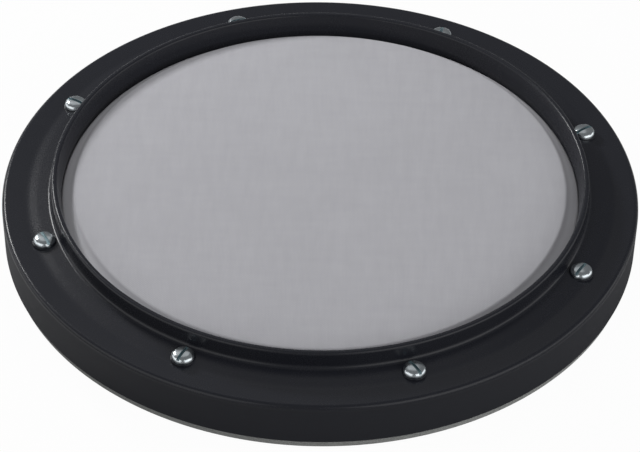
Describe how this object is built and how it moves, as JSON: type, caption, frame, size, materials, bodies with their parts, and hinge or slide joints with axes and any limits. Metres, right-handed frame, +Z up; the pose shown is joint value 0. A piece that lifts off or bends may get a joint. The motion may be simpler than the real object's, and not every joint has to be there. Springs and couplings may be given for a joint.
{
  "type": "drum practice pad",
  "caption": "Round tunable practice pad: woven mesh head stretched over a bearing ring by a deep black rim with slotted tension screws, on a non-slip base.",
  "frame": {"origin": "on the table surface, under the middle of the head", "axes": "+Z up along the axis of the round pad; the player sits on the -Y side"},
  "size_m": [0.263, 0.263, 0.0313],
  "materials": {
    "rim_plastic": "satin",
    "tray_plastic": "matte",
    "mesh_weave": "matte",
    "damper_foam": "matte",
    "grip_rubber": "matte",
    "hoop_aluminium": "satin",
    "lock_ring_steel": "satin",
    "screw_zinc": "satin",
    "insert_brass": "satin"
  },
  "bodies": {
    "base": {"non_slip_pad": "grip_rubber", "base_tray": "tray_plastic", "stand_insert": "insert_brass", "damper_foam": "damper_foam", "mesh_head": "mesh_weave", "boss_insert_1": "insert_brass", "boss_insert_2": "insert_brass", "boss_insert_3": "insert_brass", "boss_insert_4": "insert_brass", "boss_insert_5": "insert_brass", "boss_insert_6": "insert_brass", "boss_insert_7": "insert_brass", "boss_insert_8": "insert_brass"},
    "rim": {"tension_rim": "rim_plastic", "head_hoop": "hoop_aluminium", "head_lock_ring": "lock_ring_steel"},
    "screw_1": {"tension_screw_1": "screw_zinc"},
    "screw_2": {"tension_screw_2": "screw_zinc"},
    "screw_3": {"tension_screw_3": "screw_zinc"},
    "screw_4": {"tension_screw_4": "screw_zinc"},
    "screw_5": {"tension_screw_5": "screw_zinc"},
    "screw_6": {"tension_screw_6": "screw_zinc"},
    "screw_7": {"tension_screw_7": "screw_zinc"},
    "screw_8": {"tension_screw_8": "screw_zinc"}
  },
  "joints": [
    {"name": "tension_travel", "type": "slide", "parent": "base", "child": "rim", "axis": [0, 0, 1], "range_m": [-0.0003, 0.0025]},
    {"name": "screw_1_turn", "type": "hinge", "parent": "rim", "child": "screw_1", "pos_m": [0.11124, 0.03722, 0.0232], "axis": [0, 0, 1], "range_deg": [-136.1, 1133.9]},
    {"name": "screw_2_turn", "type": "hinge", "parent": "rim", "child": "screw_2", "pos_m": [0.05234, 0.10498, 0.0232], "axis": [0, 0, 1], "range_deg": [-136.1, 1133.9]},
    {"name": "screw_3_turn", "type": "hinge", "parent": "rim", "child": "screw_3", "pos_m": [-0.03722, 0.11124, 0.0232], "axis": [0, 0, 1], "range_deg": [-136.1, 1133.9]},
    {"name": "screw_4_turn", "type": "hinge", "parent": "rim", "child": "screw_4", "pos_m": [-0.10498, 0.05234, 0.0232], "axis": [0, 0, 1], "range_deg": [-136.1, 1133.9]},
    {"name": "screw_5_turn", "type": "hinge", "parent": "rim", "child": "screw_5", "pos_m": [-0.11124, -0.03722, 0.0232], "axis": [0, 0, 1], "range_deg": [-136.1, 1133.9]},
    {"name": "screw_6_turn", "type": "hinge", "parent": "rim", "child": "screw_6", "pos_m": [-0.05234, -0.10498, 0.0232], "axis": [0, 0, 1], "range_deg": [-136.1, 1133.9]},
    {"name": "screw_7_turn", "type": "hinge", "parent": "rim", "child": "screw_7", "pos_m": [0.03722, -0.11124, 0.0232], "axis": [0, 0, 1], "range_deg": [-136.1, 1133.9]},
    {"name": "screw_8_turn", "type": "hinge", "parent": "rim", "child": "screw_8", "pos_m": [0.10498, -0.05234, 0.0232], "axis": [0, 0, 1], "range_deg": [-136.1, 1133.9]}
  ],
  "couplings": [
    {"joint": "screw_1_turn", "follows": "tension_travel", "rad_per_m": 7915.8},
    {"joint": "screw_2_turn", "follows": "tension_travel", "rad_per_m": 7915.8},
    {"joint": "screw_3_turn", "follows": "tension_travel", "rad_per_m": 7915.8},
    {"joint": "screw_4_turn", "follows": "tension_travel", "rad_per_m": 7915.8},
    {"joint": "screw_5_turn", "follows": "tension_travel", "rad_per_m": 7915.8},
    {"joint": "screw_6_turn", "follows": "tension_travel", "rad_per_m": 7915.8},
    {"joint": "screw_7_turn", "follows": "tension_travel", "rad_per_m": 7915.8},
    {"joint": "screw_8_turn", "follows": "tension_travel", "rad_per_m": 7915.8}
  ]
}
